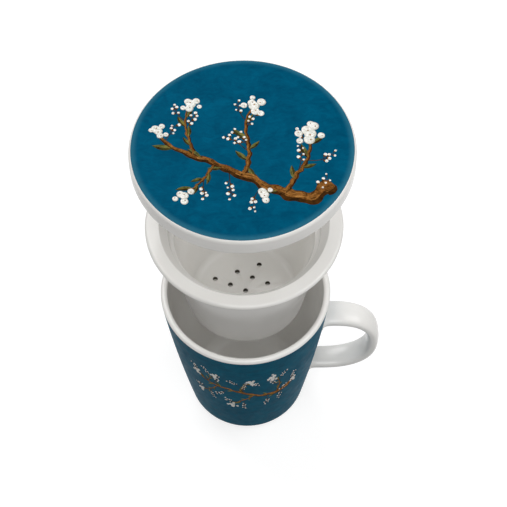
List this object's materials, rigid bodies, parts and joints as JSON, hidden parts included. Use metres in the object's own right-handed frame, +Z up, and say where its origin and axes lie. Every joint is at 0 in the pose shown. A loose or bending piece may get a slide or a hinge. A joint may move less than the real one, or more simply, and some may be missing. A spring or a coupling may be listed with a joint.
{
  "type": "lidded tea mug with infuser",
  "caption": "Tapered ceramic tea mug with a strap handle, a flanged infuser basket with drain holes that hangs in its mouth, and a flat round lid.",
  "frame": {"origin": "centre of the mug's foot ring, on the surface that it stands on", "axes": "+Z up along the shared centre line of mug, infuser and lid, +X towards the handle, -Y towards the viewer"},
  "size_m": [0.1178, 0.0974, 0.2166],
  "materials": {
    "white_glaze": "glossy clear glaze on a warm white body",
    "teal_glaze": "smooth coloured glaze"
  },
  "bodies": {
    "mug": {"mug_body": "white_glaze", "mug_handle": "white_glaze", "mug_glaze": "teal_glaze"},
    "infuser": {"infuser_basket": "white_glaze"},
    "lid": {"lid_body": "white_glaze", "lid_glaze": "teal_glaze"}
  },
  "joints": [
    {"name": "infuser_lift", "type": "slide", "parent": "mug", "child": "infuser", "axis": [0, 0, 1], "range_m": [-0.0556, 0.01]},
    {"name": "lid_lift", "type": "slide", "parent": "infuser", "child": "lid", "axis": [0, 0, 1], "range_m": [-0.0482, 0]}
  ]
}
